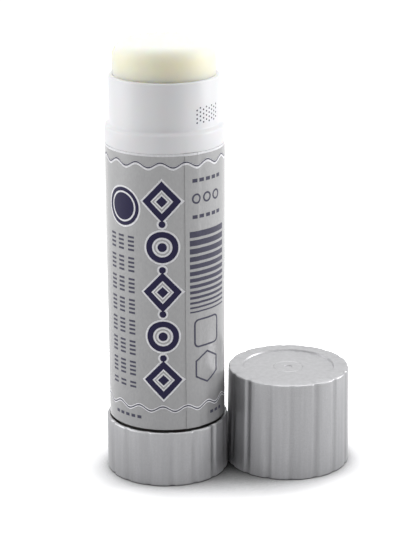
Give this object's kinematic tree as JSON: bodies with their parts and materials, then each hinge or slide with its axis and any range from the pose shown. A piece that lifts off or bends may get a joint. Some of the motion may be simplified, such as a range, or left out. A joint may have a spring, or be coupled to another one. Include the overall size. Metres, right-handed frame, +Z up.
{
  "type": "glue stick",
  "caption": "Twist-up glue stick standing open, with a grooved base knob, a threaded spindle that lifts the glue, and its grooved cap set down beside it.",
  "frame": {"origin": "centre of the twist knob's flat underside, on the surface that the stick stands on", "axes": "+Z up along the stick; +X towards the cap, which stands beside the stick a little behind the X axis; -Y is the front seen in the picture"},
  "size_m": [0.0552, 0.0302, 0.0981],
  "materials": {
    "white_moulding": "white moulded polypropylene, satin gloss",
    "grey_moulding": "silver-grey moulded polypropylene, satin",
    "inner_moulding": "natural white moulded polypropylene, plain",
    "label_film": "printed silver polypropylene film, satin",
    "glue": "cast cream-white adhesive, waxy and slightly translucent"
  },
  "bodies": {
    "barrel": {"barrel": "white_moulding", "label": "label_film"},
    "knob": {"twist_knob": "grey_moulding", "spindle": "inner_moulding"},
    "carrier": {"carrier": "inner_moulding", "glue": "glue"},
    "cap": {"cap": "grey_moulding"}
  },
  "joints": [
    {"name": "knob_twist", "type": "hinge", "parent": "barrel", "child": "knob", "pos_m": [0, 0, 0.0065], "axis": [0, 0, 1], "range_deg": [-648.1, 3600.1]},
    {"name": "carrier_rise", "type": "slide", "parent": "barrel", "child": "carrier", "axis": [0, 0, 1], "range_m": [-0.009, 0.05]},
    {"name": "cap_lift", "type": "slide", "parent": "barrel", "child": "cap", "axis": [0, 0, 1], "range_m": [0, 0.1]}
  ],
  "couplings": [
    {"joint": "knob_twist", "follows": "carrier_rise", "rad_per_m": 1256.6}
  ]
}
